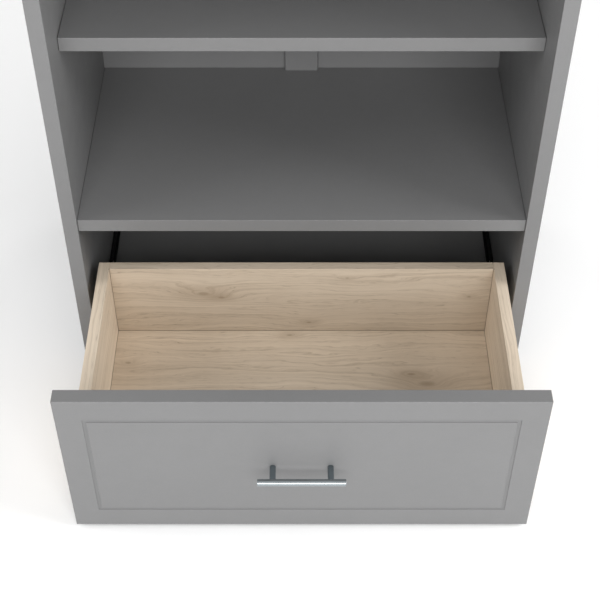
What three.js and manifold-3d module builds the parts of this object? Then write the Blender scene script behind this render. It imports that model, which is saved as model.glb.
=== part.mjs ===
// Tall open shelving cabinet with a wide inset drawer at the bottom.
//
// Frame: millimetres, +X to the right, +Y towards the wall, +Z up. The origin is on the floor, in the
// middle of the width and halfway between the drawer handle's front and the side panels' rear edges,
// with the drawer pulled out as far as DRAWER_OPEN.
//
// Distances called "depth" are measured from the front edges of the side panels towards the wall;
// heights are measured from the floor.

import * as THREE from 'three';
import { mergeVertices } from 'three/addons/utils/BufferGeometryUtils.js';
import Module from 'manifold-3d';

const wasm = await Module();
wasm.setup();

// Cabinet
const WIDTH = 838;
const DEPTH = 475;
const HEIGHT = 2032;
const BOARD = 25.4;
const GAP = 0.3; // left between pieces that are fastened face to face

// Floor glides
const GLIDE_HEIGHT = 3;
const GLIDE_RADIUS = 9;
const GLIDE_NAIL_RADIUS = 0.9;
const GLIDE_NAIL_LENGTH = 12;
const GLIDE_INSET = 40; // from the front and rear ends of a side panel
const GLIDE_CHAMFER = 1;
const GLIDE_NAIL_POINT = 2;

// Back: two hardboard panels in grooves, joined by a stile in the middle
const BACK_DEPTH = 459.2;
const BACK_THICKNESS = 3.2;
const BACK_GROOVE = 6;
const BACK_END_CLEARANCE = 1;
const STILE_WIDTH = 64;

// Fixed boards between the side panels
const FIXED_SHELF_TOP = 366.2;
const FIXED_SHELF_SETBACK = 4.2;
const BOTTOM_THICKNESS = 12.7;
const BOTTOM_SETBACK = 30;

// Adjustable shelves, each resting on four pins
const SHELF_COUNT = 4;
const SHELF_PITCH = 328.2;
const SHELF_SETBACK = 77;
const SHELF_DEPTH = 368.3;
const SHELF_END_CLEARANCE = 0.8;
const PIN_RADIUS = 2.5;
const PIN_HEAD_RADIUS = 3.5;
const PIN_HEAD_LENGTH = 8.5;
const PIN_HOLE_DEPTH = 10;
const PIN_INSET = 40; // from a shelf's front and rear edges
const PIN_CHAMFER = 1;

// Drawer, drawn DRAWER_OPEN out of the cabinet
const DRAWER_OPEN = 384.7;
const FRONT_THICKNESS = 25.1;
const FRONT_SIDE_GAP = 2.6;
const FRONT_BOTTOM = 7;
const FRONT_TOP = 338.4;
const FRONT_GROOVE_INSET = 46.4; // from the side and bottom edges to the groove's centre line
const FRONT_GROOVE_TOP_INSET = 48.2;
const FRONT_GROOVE_WIDTH = 6.2;
const FRONT_GROOVE_DEPTH = 1.6;
const BOX_GAP = 15.2; // between a side panel and the drawer box
const BOX_SIDE_THICKNESS = 20.8;
const BOX_BACK_THICKNESS = 18;
const BOX_BACK_DEPTH = 444.6; // rear face, with the drawer shut
const BOX_BOTTOM = 27;
const BOX_TOP = 210.2;
const BOX_FLOOR_TOP = 42.4;
const BOX_FLOOR_THICKNESS = 6;
const BOX_FLOOR_GROOVE = 7;

// Bar handle on the drawer front
const HANDLE_HEIGHT = 172.7;
const HANDLE_CENTRES = 95.25;
const HANDLE_LENGTH = 145;
const HANDLE_BAR_RADIUS = 6;
const HANDLE_STANDOFF = 32.5; // from the drawer front to the bar's axis
const HANDLE_POST_RADIUS = 5.2;
const HANDLE_CHAMFER = 0.8;
const HANDLE_SCREW_RADIUS = 2;
const HANDLE_SCREW_REACH = 12; // into the post
const HANDLE_THREAD_SPARE = 2; // past the screw's end
const HANDLE_SCREW_HEAD_RADIUS = 4.2;
const HANDLE_SCREW_HEAD_HEIGHT = 2.6;

// Three-member ball-bearing slides, one on each side of the drawer box
const SLIDE_LENGTH = 400;
const SLIDE_START = 27.5; // front end, with the drawer shut
const SLIDE_HEIGHT = 35;
const SLIDE_TOP = 53;
const SLIDE_STEEL = 1.4;
const SLIDE_RACE = 2.6; // room for the balls between two members
const SLIDE_OUTER_REACH = 7.6; // from the side panel to the outer member's flange tips
const SLIDE_MIDDLE_SPAN = [4.6, 11.5]; // from the side panel
const SLIDE_INNER_TIP = 7.2; // from the side panel to the inner member's flange tips
const SLIDE_SCREW_INSET = 36;
const SLIDE_SCREW_RADIUS = 1.7;
const SLIDE_SCREW_HOLE_RADIUS = 2.2;
const SLIDE_SCREW_LENGTH = 14;
const SLIDE_SCREW_HEAD_RADIUS = 3.6;
const SLIDE_SCREW_HEAD_HEIGHT = 1.6;

// Anti-tip bracket on the top panel
const BRACKET_WIDTH = 50;
const BRACKET_STEEL = 2;
const BRACKET_FOOT = 40;
const BRACKET_RISE = 22;
const BRACKET_HOLE_RADIUS = 2.6;
const BRACKET_WALL_HOLE_HEIGHT = 13.2;
const BRACKET_SCREW_SPACING = 30;
const BRACKET_SCREW_INSET = 14; // from the foot's front edge
const BRACKET_SCREW_RADIUS = 2;
const BRACKET_SCREW_LENGTH = 15;
const BRACKET_SCREW_HEAD_RADIUS = 4;
const BRACKET_SCREW_HEAD_HEIGHT = 2.4;

// Shares of a screw head's size
const SCREW_CROWN = 0.7; // flat top's radius
const SCREW_RIM = 0.45; // height of its straight rim

// Sides of the polygons that stand for round sections
const ROUND_SMALL = 12;
const ROUND_LARGE = 24;
const OVERSHOOT = 1; // how far a cutter runs past the face it cuts

// Places worked out from the driving dimensions
const HANDLE_PROJECTION = HANDLE_STANDOFF + HANDLE_BAR_RADIUS;
const FRONT_Y = (DRAWER_OPEN + HANDLE_PROJECTION - DEPTH) / 2;
const REAR_Y = FRONT_Y + DEPTH;
const BACK_Y = FRONT_Y + BACK_DEPTH;
const INNER_X = WIDTH / 2 - BOARD;
const PANEL_X = INNER_X - GAP;
const TOP_UNDERSIDE = HEIGHT - BOARD;
const FIXED_SHELF_UNDERSIDE = FIXED_SHELF_TOP - BOARD;
const BOTTOM_TOP = GLIDE_HEIGHT + BOTTOM_THICKNESS;
const STILE_FRONT_Y = BACK_Y + BACK_THICKNESS / 2 - BOARD / 2;
const SHELF_FRONT_Y = FRONT_Y + SHELF_SETBACK;
const FACE_Y = FRONT_Y - DRAWER_OPEN;
const FRONT_BACK_Y = FACE_Y + FRONT_THICKNESS;
const BOX_BACK_Y = FACE_Y + BOX_BACK_DEPTH;
const BOX_OUTER_X = INNER_X - BOX_GAP;
const BOX_INNER_X = BOX_OUTER_X - BOX_SIDE_THICKNESS;
const SLIDE_MID_HEIGHT = SLIDE_TOP - SLIDE_HEIGHT / 2;
const SLIDE_START_Y = FRONT_Y + SLIDE_START;
const SIDES = [['left', -1], ['right', 1]];

const GREY_BOARD = new THREE.MeshStandardMaterial({ color: 0x8b8c8e, roughness: 0.5, metalness: 0 });
const LIGHT_OAK = new THREE.MeshStandardMaterial({ color: 0xd2bd9a, roughness: 0.6, metalness: 0 });
const BLACK_STEEL = new THREE.MeshStandardMaterial({ color: 0x17181a, roughness: 0.4, metalness: 0.6 });
const ZINC = new THREE.MeshStandardMaterial({ color: 0xb4b6b8, roughness: 0.35, metalness: 0.9 });
const NICKEL = new THREE.MeshStandardMaterial({ color: 0xc8cacc, roughness: 0.22, metalness: 1 });
const BLACK_PLASTIC = new THREE.MeshStandardMaterial({ color: 0x202122, roughness: 0.7, metalness: 0 });

const cabinet = new THREE.Group();

// Adds one named sub-part with its own copy of a material.
function add(name, geometry, material) {
  const mesh = new THREE.Mesh(geometry, material.clone());
  mesh.name = name;
  cabinet.add(mesh);
}

// Box between two opposite corners, given in any order.
function block(a, b) {
  const size = a.map((value, axis) => Math.abs(value - b[axis]));
  const middle = a.map((value, axis) => (value + b[axis]) / 2);
  return new THREE.BoxGeometry(...size).translate(...middle);
}

// Round bar from a start point along +X, +Y or +Z.
function rod(axis, radius, length, start, sides = ROUND_SMALL) {
  const geometry = new THREE.CylinderGeometry(radius, radius, length, sides);
  geometry.translate(0, length / 2, 0);
  return turnTo(axis, geometry).translate(...start);
}

// Turned piece: profile points are [radius, distance along the axis], from one end to the other.
function turned(axis, profile, start, direction = 1, sides = ROUND_SMALL) {
  const points = profile.map(([radius, along]) => new THREE.Vector2(radius, along));
  const geometry = new THREE.LatheGeometry(points, sides);
  if (direction < 0) {
    geometry.rotateX(Math.PI);
  }
  return turnTo(axis, geometry).translate(...start);
}

// Turns a geometry made along +Y so that it lies along the named axis.
function turnTo(axis, geometry) {
  if (axis === 'x') {
    geometry.rotateZ(-Math.PI / 2);
  }
  if (axis === 'z') {
    geometry.rotateX(Math.PI / 2);
  }
  return geometry;
}

// Profile in the X-Z plane carried along Y from y0 to y1.
function profileAlongY(points, y0, y1) {
  const shape = new THREE.Shape(points.map(([x, z]) => new THREE.Vector2(x, z)));
  const geometry = new THREE.ExtrudeGeometry(shape, { depth: y1 - y0, bevelEnabled: false });
  return geometry.rotateX(Math.PI / 2).translate(0, y1, 0);
}

function toManifold(geometry) {
  const bare = geometry.clone();
  bare.deleteAttribute('normal');
  bare.deleteAttribute('uv');
  const merged = mergeVertices(bare, 1e-4);
  return new wasm.Manifold(new wasm.Mesh({
    numProp: 3,
    vertProperties: new Float32Array(merged.attributes.position.array),
    triVerts: new Uint32Array(merged.index.array),
  }));
}

function toGeometry(manifold) {
  const mesh = manifold.getMesh();
  const geometry = new THREE.BufferGeometry();
  geometry.setAttribute('position', new THREE.BufferAttribute(mesh.vertProperties, 3));
  geometry.setIndex(new THREE.BufferAttribute(mesh.triVerts, 1));
  return geometry;
}

function cut(geometry, cutters) {
  const solid = cutters.reduce((rest, cutter) => rest.subtract(toManifold(cutter)), toManifold(geometry));
  return toGeometry(solid);
}

// Profile of a screw: flat underside of the head at 0, shank along positive distances.
function screwProfile(headRadius, headHeight, shankRadius, length) {
  const crown = headRadius * SCREW_CROWN;
  return [
    [0, -headHeight],
    [crown, -headHeight],
    [headRadius, -headHeight * SCREW_RIM],
    [headRadius, 0],
    [shankRadius, 0],
    [shankRadius, length - shankRadius],
    [0, length],
  ];
}

// The underside of adjustable shelf number index, counted from 0 at the bottom.
function shelfUnderside(index) {
  return FIXED_SHELF_TOP + SHELF_PITCH * (index + 1) - BOARD;
}

function pinPlaces() {
  const places = [];
  for (let index = 0; index < SHELF_COUNT; index += 1) {
    const z = shelfUnderside(index) - GAP - PIN_HEAD_RADIUS;
    places.push({ shelf: index + 1, end: 'front', y: SHELF_FRONT_Y + PIN_INSET, z });
    places.push({ shelf: index + 1, end: 'rear', y: SHELF_FRONT_Y + SHELF_DEPTH - PIN_INSET, z });
  }
  return places;
}

function glidePlaces() {
  return [['front', FRONT_Y + GLIDE_INSET], ['rear', REAR_Y - GLIDE_INSET]];
}

// Distances from a slide's front end to its screws.
function slideScrewPlaces() {
  return [['front', SLIDE_SCREW_INSET], ['rear', SLIDE_LENGTH - SLIDE_SCREW_INSET]];
}

// Side panels: floor to top, with the back's groove and the holes for pins, nails and slide screws.
function addSidePanels() {
  for (const [side, sign] of SIDES) {
    const outer = sign * WIDTH / 2;
    const inner = sign * INNER_X;
    const panel = block([outer, FRONT_Y, GLIDE_HEIGHT], [inner, REAR_Y, HEIGHT]);
    const groove = block(
      [inner - sign * OVERSHOOT, BACK_Y - GAP, GLIDE_HEIGHT - OVERSHOOT],
      [inner + sign * (BACK_GROOVE + GAP), BACK_Y + BACK_THICKNESS + GAP, HEIGHT + OVERSHOOT],
    );
    const cutters = [groove];
    const intoPanel = sign > 0 ? inner - OVERSHOOT : inner - PIN_HOLE_DEPTH;
    for (const { y, z } of pinPlaces()) {
      cutters.push(rod('x', PIN_RADIUS + GAP, PIN_HOLE_DEPTH + OVERSHOOT, [intoPanel, y, z]));
    }
    const screwDepth = SLIDE_SCREW_LENGTH + OVERSHOOT;
    const screwStart = sign > 0 ? inner - OVERSHOOT : inner - SLIDE_SCREW_LENGTH;
    for (const [, along] of slideScrewPlaces()) {
      const start = [screwStart, SLIDE_START_Y + along, SLIDE_MID_HEIGHT];
      cutters.push(rod('x', SLIDE_SCREW_HOLE_RADIUS, screwDepth, start));
    }
    const nailX = sign * (WIDTH - BOARD) / 2;
    for (const [, y] of glidePlaces()) {
      const start = [nailX, y, GLIDE_HEIGHT - OVERSHOOT];
      const depth = GLIDE_NAIL_LENGTH + OVERSHOOT + GAP;
      cutters.push(rod('z', GLIDE_NAIL_RADIUS + GAP, depth, start));
    }
    add(`${side}_side_panel`, cut(panel, cutters), GREY_BOARD);
  }
}

// Nail-on glides under the side panels.
function addGlides() {
  const rim = GLIDE_HEIGHT - GAP;
  const profile = [
    [0, 0],
    [GLIDE_RADIUS - GLIDE_CHAMFER, 0],
    [GLIDE_RADIUS, GLIDE_CHAMFER],
    [GLIDE_RADIUS, rim],
    [GLIDE_NAIL_RADIUS, rim],
    [GLIDE_NAIL_RADIUS, rim + GLIDE_NAIL_LENGTH - GLIDE_NAIL_POINT],
    [0, rim + GLIDE_NAIL_LENGTH],
  ];
  for (const [side, sign] of SIDES) {
    for (const [end, y] of glidePlaces()) {
      const glide = turned('z', profile, [sign * (WIDTH - BOARD) / 2, y, 0]);
      add(`floor_glide_${side}_${end}`, glide, BLACK_PLASTIC);
    }
  }
}

// Horizontal boards fastened between the side panels, in front of the back.
function addFixedBoards() {
  const rear = BACK_Y - GAP;
  const boards = [
    ['bottom_panel', BOTTOM_SETBACK, GLIDE_HEIGHT, BOTTOM_TOP],
    ['fixed_shelf', FIXED_SHELF_SETBACK, FIXED_SHELF_UNDERSIDE, FIXED_SHELF_TOP],
  ];
  for (const [name, setback, z0, z1] of boards) {
    add(name, block([-PANEL_X, FRONT_Y + setback, z0], [PANEL_X, rear, z1]), GREY_BOARD);
  }
  const top = block([-PANEL_X, FRONT_Y, TOP_UNDERSIDE], [PANEL_X, rear, HEIGHT]);
  const pilots = bracketScrewPlaces().map(([, x]) => {
    const start = [x, bracketScrewY(), HEIGHT - BRACKET_SCREW_LENGTH];
    return rod('z', BRACKET_SCREW_RADIUS + GAP, BRACKET_SCREW_LENGTH + OVERSHOOT, start);
  });
  add('top_panel', cut(top, pilots), GREY_BOARD);
}

// Hardboard back in two halves, and the grooved stile that joins them, in two lengths.
function addBack() {
  const top = HEIGHT - BACK_END_CLEARANCE;
  const bottom = GLIDE_HEIGHT + BACK_END_CLEARANCE;
  const outerEdge = INNER_X + BACK_GROOVE;
  const innerEdge = STILE_WIDTH / 2 - BACK_GROOVE;
  for (const [side, sign] of SIDES) {
    const low = [sign * innerEdge, BACK_Y, bottom];
    const high = [sign * outerEdge, BACK_Y + BACK_THICKNESS, top];
    add(`back_panel_${side}`, block(low, high), GREY_BOARD);
  }
  const lengths = [
    ['centre_stile_upper', FIXED_SHELF_TOP + GAP, TOP_UNDERSIDE - GAP],
    ['centre_stile_lower', BOTTOM_TOP + GAP, FIXED_SHELF_UNDERSIDE - GAP],
  ];
  for (const [name, z0, z1] of lengths) {
    const half = STILE_WIDTH / 2;
    const stile = block([-half, STILE_FRONT_Y, z0], [half, STILE_FRONT_Y + BOARD, z1]);
    const grooves = SIDES.map(([, sign]) => block(
      [sign * (innerEdge - GAP), BACK_Y - GAP, z0 - OVERSHOOT],
      [sign * (half + OVERSHOOT), BACK_Y + BACK_THICKNESS + GAP, z1 + OVERSHOOT],
    ));
    add(name, cut(stile, grooves), GREY_BOARD);
  }
}

// Adjustable shelves on pins pushed into the side panels.
function addShelves() {
  const half = INNER_X - SHELF_END_CLEARANCE;
  for (let index = 0; index < SHELF_COUNT; index += 1) {
    const z = shelfUnderside(index);
    const low = [-half, SHELF_FRONT_Y, z];
    const high = [half, SHELF_FRONT_Y + SHELF_DEPTH, z + BOARD];
    add(`adjustable_shelf_${index + 1}`, block(low, high), GREY_BOARD);
  }
  const shank = PIN_HOLE_DEPTH - 2 * GAP;
  const profile = [
    [0, 0],
    [PIN_RADIUS, 0],
    [PIN_RADIUS, shank],
    [PIN_HEAD_RADIUS, shank],
    [PIN_HEAD_RADIUS, shank + PIN_HEAD_LENGTH - PIN_CHAMFER],
    [PIN_HEAD_RADIUS - PIN_CHAMFER, shank + PIN_HEAD_LENGTH],
    [0, shank + PIN_HEAD_LENGTH],
  ];
  for (const [side, sign] of SIDES) {
    for (const { shelf, end, y, z } of pinPlaces()) {
      const start = [sign * (INNER_X + shank - GAP), y, z];
      add(`shelf_pin_${shelf}_${side}_${end}`, turned('x', profile, start, -sign), ZINC);
    }
  }
}

function bracketScrewPlaces() {
  return [['left', -BRACKET_SCREW_SPACING / 2], ['right', BRACKET_SCREW_SPACING / 2]];
}

function bracketScrewY() {
  return REAR_Y - BRACKET_FOOT + BRACKET_SCREW_INSET;
}

// Steel angle that ties the cabinet to the wall, with its two screws into the top panel.
function addAntiTipBracket() {
  const half = BRACKET_WIDTH / 2;
  const base = HEIGHT + GAP;
  const outline = new THREE.Shape([
    new THREE.Vector2(0, 0),
    new THREE.Vector2(BRACKET_FOOT, 0),
    new THREE.Vector2(BRACKET_FOOT, BRACKET_RISE),
    new THREE.Vector2(BRACKET_FOOT - BRACKET_STEEL, BRACKET_RISE),
    new THREE.Vector2(BRACKET_FOOT - BRACKET_STEEL, BRACKET_STEEL),
    new THREE.Vector2(0, BRACKET_STEEL),
  ]);
  const angle = new THREE.ExtrudeGeometry(outline, { depth: BRACKET_WIDTH, bevelEnabled: false });
  angle.rotateX(Math.PI / 2).rotateZ(Math.PI / 2);
  angle.translate(-half, REAR_Y - BRACKET_FOOT, base);
  const holes = bracketScrewPlaces().map(([, x]) => {
    const start = [x, bracketScrewY(), base - OVERSHOOT];
    return rod('z', BRACKET_HOLE_RADIUS, BRACKET_STEEL + 2 * OVERSHOOT, start);
  });
  const wallHoleLength = BRACKET_STEEL + 2 * OVERSHOOT;
  const wallHoleZ = base + BRACKET_WALL_HOLE_HEIGHT;
  for (const [, x] of bracketScrewPlaces()) {
    const start = [x, REAR_Y - BRACKET_STEEL - OVERSHOOT, wallHoleZ];
    holes.push(rod('y', BRACKET_HOLE_RADIUS, wallHoleLength, start));
  }
  add('anti_tip_bracket', cut(angle, holes), ZINC);
  const profile = screwProfile(
    BRACKET_SCREW_HEAD_RADIUS,
    BRACKET_SCREW_HEAD_HEIGHT,
    BRACKET_SCREW_RADIUS,
    BRACKET_SCREW_LENGTH,
  );
  for (const [side, x] of bracketScrewPlaces()) {
    const start = [x, bracketScrewY(), base + BRACKET_STEEL + GAP];
    add(`anti_tip_screw_${side}`, turned('z', profile, start, -1), ZINC);
  }
}

// Channel section of a slide member: web from webU, flanges out to tipU, both from the side panel.
function channel(sign, webU, tipU, halfHeight, y0, y1) {
  const inward = tipU > webU ? 1 : -1;
  const place = ([u, z]) => [sign * (INNER_X - u), SLIDE_MID_HEIGHT + z];
  const webInside = webU + inward * SLIDE_STEEL;
  const flangeInside = halfHeight - SLIDE_STEEL;
  const outline = [
    [webU, -halfHeight],
    [tipU, -halfHeight],
    [tipU, -flangeInside],
    [webInside, -flangeInside],
    [webInside, flangeInside],
    [tipU, flangeInside],
    [tipU, halfHeight],
    [webU, halfHeight],
  ];
  return profileAlongY(outline.map(place), y0, y1);
}

// Cutters for a slide member's screw holes, through its web at webU.
function slideScrewHoles(sign, webU, y0) {
  const x = sign * (INNER_X - webU);
  const length = 4 * SLIDE_STEEL;
  return slideScrewPlaces().map(([, along]) => {
    const start = [x - length / 2, y0 + along, SLIDE_MID_HEIGHT];
    return rod('x', SLIDE_SCREW_HOLE_RADIUS, length, start);
  });
}

// Slides: the outer member on the side panel, the inner one on the drawer box, and the middle one
// between them, which has travelled half as far as the drawer.
function addSlides() {
  const outerHalf = SLIDE_HEIGHT / 2;
  const middleHalf = outerHalf - SLIDE_STEEL - SLIDE_RACE;
  const innerHalf = middleHalf - SLIDE_STEEL - SLIDE_RACE;
  const innerWebU = BOX_GAP - GAP;
  const middleY = SLIDE_START_Y - DRAWER_OPEN / 2;
  const innerY = SLIDE_START_Y - DRAWER_OPEN;
  const profile = screwProfile(
    SLIDE_SCREW_HEAD_RADIUS,
    SLIDE_SCREW_HEAD_HEIGHT,
    SLIDE_SCREW_RADIUS,
    SLIDE_SCREW_LENGTH - SLIDE_STEEL - 2 * GAP,
  );
  for (const [side, sign] of SIDES) {
    const outer = channel(
      sign, GAP, SLIDE_OUTER_REACH, outerHalf, SLIDE_START_Y, SLIDE_START_Y + SLIDE_LENGTH,
    );
    add(`slide_outer_${side}`, cut(outer, slideScrewHoles(sign, GAP, SLIDE_START_Y)), BLACK_STEEL);
    const middle = channel(sign, ...SLIDE_MIDDLE_SPAN, middleHalf, middleY, middleY + SLIDE_LENGTH);
    add(`slide_middle_${side}`, middle, BLACK_STEEL);
    const inner = channel(sign, innerWebU, SLIDE_INNER_TIP, innerHalf, innerY, innerY + SLIDE_LENGTH);
    add(`slide_inner_${side}`, cut(inner, slideScrewHoles(sign, innerWebU, innerY)), BLACK_STEEL);
    for (const [end, along] of slideScrewPlaces()) {
      const outerHeadU = GAP + SLIDE_STEEL + GAP;
      const outerStart = [sign * (INNER_X - outerHeadU), SLIDE_START_Y + along, SLIDE_MID_HEIGHT];
      add(`slide_screw_case_${side}_${end}`, turned('x', profile, outerStart, sign), ZINC);
      const innerHeadU = innerWebU - SLIDE_STEEL - GAP;
      const innerStart = [sign * (INNER_X - innerHeadU), innerY + along, SLIDE_MID_HEIGHT];
      add(`slide_screw_drawer_${side}_${end}`, turned('x', profile, innerStart, -sign), ZINC);
    }
  }
}

// Rectangular ring routed into the drawer front's face.
function frontGroove() {
  const halfX = INNER_X - FRONT_SIDE_GAP - FRONT_GROOVE_INSET + FRONT_GROOVE_WIDTH / 2;
  const lowZ = FRONT_BOTTOM + FRONT_GROOVE_INSET - FRONT_GROOVE_WIDTH / 2;
  const highZ = FRONT_TOP - FRONT_GROOVE_TOP_INSET + FRONT_GROOVE_WIDTH / 2;
  const middleZ = (lowZ + highZ) / 2;
  const halfZ = (highZ - lowZ) / 2;
  const outline = new THREE.Shape(rectangle(halfX, halfZ));
  outline.holes.push(new THREE.Path(rectangle(halfX - FRONT_GROOVE_WIDTH, halfZ - FRONT_GROOVE_WIDTH)));
  const depth = FRONT_GROOVE_DEPTH + OVERSHOOT;
  const ring = new THREE.ExtrudeGeometry(outline, { depth, bevelEnabled: false });
  return ring.rotateX(Math.PI / 2).translate(0, FACE_Y + FRONT_GROOVE_DEPTH, middleZ);
}

function rectangle(halfX, halfZ) {
  return [
    new THREE.Vector2(-halfX, -halfZ),
    new THREE.Vector2(halfX, -halfZ),
    new THREE.Vector2(halfX, halfZ),
    new THREE.Vector2(-halfX, halfZ),
  ];
}

// Inset drawer front, with the routed ring, the handle's screw holes and a groove for the floor.
function addDrawerFront() {
  const half = INNER_X - FRONT_SIDE_GAP;
  const board = block([-half, FACE_Y, FRONT_BOTTOM], [half, FRONT_BACK_Y, FRONT_TOP]);
  const cutters = [frontGroove(), floorGroove(
    [-BOX_OUTER_X, FRONT_BACK_Y - BOX_FLOOR_GROOVE - GAP],
    [BOX_OUTER_X, FRONT_BACK_Y + OVERSHOOT],
  )];
  for (const [, sign] of SIDES) {
    const start = [sign * HANDLE_CENTRES / 2, FACE_Y - OVERSHOOT, HANDLE_HEIGHT];
    const length = FRONT_THICKNESS + 2 * OVERSHOOT;
    cutters.push(rod('y', HANDLE_SCREW_RADIUS + GAP, length, start));
  }
  add('drawer_front', cut(board, cutters), GREY_BOARD);
}

// Slot that takes the drawer floor's edge; the corners are [x, y].
function floorGroove([x0, y0], [x1, y1]) {
  const z0 = BOX_FLOOR_TOP - BOX_FLOOR_THICKNESS - GAP;
  return block([x0, y0, z0], [x1, y1, BOX_FLOOR_TOP + GAP]);
}

// Drawer box: two sides screwed to the front, a back between them, and a floor in grooves.
function addDrawerBox() {
  const frontY = FRONT_BACK_Y + GAP;
  const innerY = SLIDE_START_Y - DRAWER_OPEN;
  for (const [side, sign] of SIDES) {
    const outer = sign * BOX_OUTER_X;
    const inner = sign * BOX_INNER_X;
    const board = block([outer, frontY, BOX_BOTTOM], [inner, BOX_BACK_Y, BOX_TOP]);
    const cutters = [floorGroove(
      [inner - sign * OVERSHOOT, frontY - OVERSHOOT],
      [inner + sign * (BOX_FLOOR_GROOVE + GAP), BOX_BACK_Y + OVERSHOOT],
    )];
    const screwStart = sign > 0 ? outer - SLIDE_SCREW_LENGTH : outer - OVERSHOOT;
    for (const [, along] of slideScrewPlaces()) {
      const start = [screwStart, innerY + along, SLIDE_MID_HEIGHT];
      cutters.push(rod('x', SLIDE_SCREW_HOLE_RADIUS, SLIDE_SCREW_LENGTH + OVERSHOOT, start));
    }
    add(`drawer_side_${side}`, cut(board, cutters), LIGHT_OAK);
  }
  const backHalf = BOX_INNER_X - GAP;
  const backLow = [-backHalf, BOX_BACK_Y - BOX_BACK_THICKNESS, BOX_FLOOR_TOP + GAP];
  add('drawer_back', block(backLow, [backHalf, BOX_BACK_Y, BOX_TOP]), LIGHT_OAK);
  const floorHalf = BOX_INNER_X + BOX_FLOOR_GROOVE;
  const floorLow = [-floorHalf, FRONT_BACK_Y - BOX_FLOOR_GROOVE, BOX_FLOOR_TOP - BOX_FLOOR_THICKNESS];
  add('drawer_floor', block(floorLow, [floorHalf, BOX_BACK_Y, BOX_FLOOR_TOP]), LIGHT_OAK);
}

// Round bar on two posts, screwed on from inside the drawer.
function addHandle() {
  const axisY = FACE_Y - HANDLE_STANDOFF;
  const barProfile = [
    [0, 0],
    [HANDLE_BAR_RADIUS - HANDLE_CHAMFER, 0],
    [HANDLE_BAR_RADIUS, HANDLE_CHAMFER],
    [HANDLE_BAR_RADIUS, HANDLE_LENGTH - HANDLE_CHAMFER],
    [HANDLE_BAR_RADIUS - HANDLE_CHAMFER, HANDLE_LENGTH],
    [0, HANDLE_LENGTH],
  ];
  const barStart = [-HANDLE_LENGTH / 2, axisY, HANDLE_HEIGHT];
  add('handle_bar', turned('x', barProfile, barStart, 1, ROUND_LARGE), NICKEL);
  const seat = rod('x', HANDLE_BAR_RADIUS + GAP, HANDLE_LENGTH, barStart, ROUND_LARGE);
  const profile = screwProfile(
    HANDLE_SCREW_HEAD_RADIUS,
    HANDLE_SCREW_HEAD_HEIGHT,
    HANDLE_SCREW_RADIUS,
    FRONT_THICKNESS + HANDLE_SCREW_REACH,
  );
  for (const [side, sign] of SIDES) {
    const x = sign * HANDLE_CENTRES / 2;
    const length = HANDLE_STANDOFF - GAP;
    const post = rod('y', HANDLE_POST_RADIUS, length, [x, axisY, HANDLE_HEIGHT], ROUND_LARGE);
    const threadLength = HANDLE_SCREW_REACH + HANDLE_THREAD_SPARE;
    const threadStart = [x, FACE_Y - threadLength, HANDLE_HEIGHT];
    const thread = rod('y', HANDLE_SCREW_RADIUS + GAP, threadLength + OVERSHOOT, threadStart);
    add(`handle_post_${side}`, cut(post, [seat, thread]), NICKEL);
    const screwStart = [x, FRONT_BACK_Y + GAP, HANDLE_HEIGHT];
    add(`handle_screw_${side}`, turned('y', profile, screwStart, -1), ZINC);
  }
}

addSidePanels();
addGlides();
addFixedBoards();
addBack();
addShelves();
addAntiTipBracket();
addSlides();
addDrawerFront();
addDrawerBox();
addHandle();

export default cabinet;
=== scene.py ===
"""Looks of a tall open shelving cabinet with a wide inset drawer, in metres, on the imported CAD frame."""

import math

import bmesh
import bpy
from mathutils import Matrix, Vector


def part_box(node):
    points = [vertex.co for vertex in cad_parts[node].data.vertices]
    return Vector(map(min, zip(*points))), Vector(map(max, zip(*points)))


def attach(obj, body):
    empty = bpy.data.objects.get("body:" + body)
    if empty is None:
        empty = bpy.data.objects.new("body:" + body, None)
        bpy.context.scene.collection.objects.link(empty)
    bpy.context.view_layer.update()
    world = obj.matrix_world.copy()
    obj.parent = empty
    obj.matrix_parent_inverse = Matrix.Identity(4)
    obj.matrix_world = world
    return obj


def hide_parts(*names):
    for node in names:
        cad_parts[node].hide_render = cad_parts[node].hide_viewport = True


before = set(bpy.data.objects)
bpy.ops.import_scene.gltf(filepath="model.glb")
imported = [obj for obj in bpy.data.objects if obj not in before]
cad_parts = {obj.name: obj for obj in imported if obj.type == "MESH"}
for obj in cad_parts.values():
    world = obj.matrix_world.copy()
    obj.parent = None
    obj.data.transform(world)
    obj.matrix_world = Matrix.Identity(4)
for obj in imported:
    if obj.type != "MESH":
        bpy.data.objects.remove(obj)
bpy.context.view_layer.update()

MM = 0.001


# ================================================================ places taken from the frame

FRONT_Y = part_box("left_side_panel")[0].y        # the side panels' front edges
INNER_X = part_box("right_side_panel")[0].x       # the side panels' inner faces, either way from the middle
FLOOR_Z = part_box("floor_glide_left_front")[0].z
SIDES = (("left", -1), ("right", 1))
ENDS = ("front", "rear")
SHELVES = range(1, 5)
AROUND = ((-1, -1), (1, -1), (1, 1), (-1, 1))   # a rectangle's corners in order, about its middle


def middle(node):
    low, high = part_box(node)
    return (low + high) / 2


# ================================================================ camera, light and floor

CAMERA_AHEAD = 1.648                            # in front of the side panels' front edges
CAMERA_HEIGHT = 1.8617
CAMERA_SIDE = -0.0028
CAMERA_DOWN = math.radians(45.734)
CAMERA_LENS = 76.24                             # mm, on a sensor CAMERA_SENSOR mm wide
CAMERA_SENSOR = 36.0
CAMERA_REACH = 100

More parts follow.
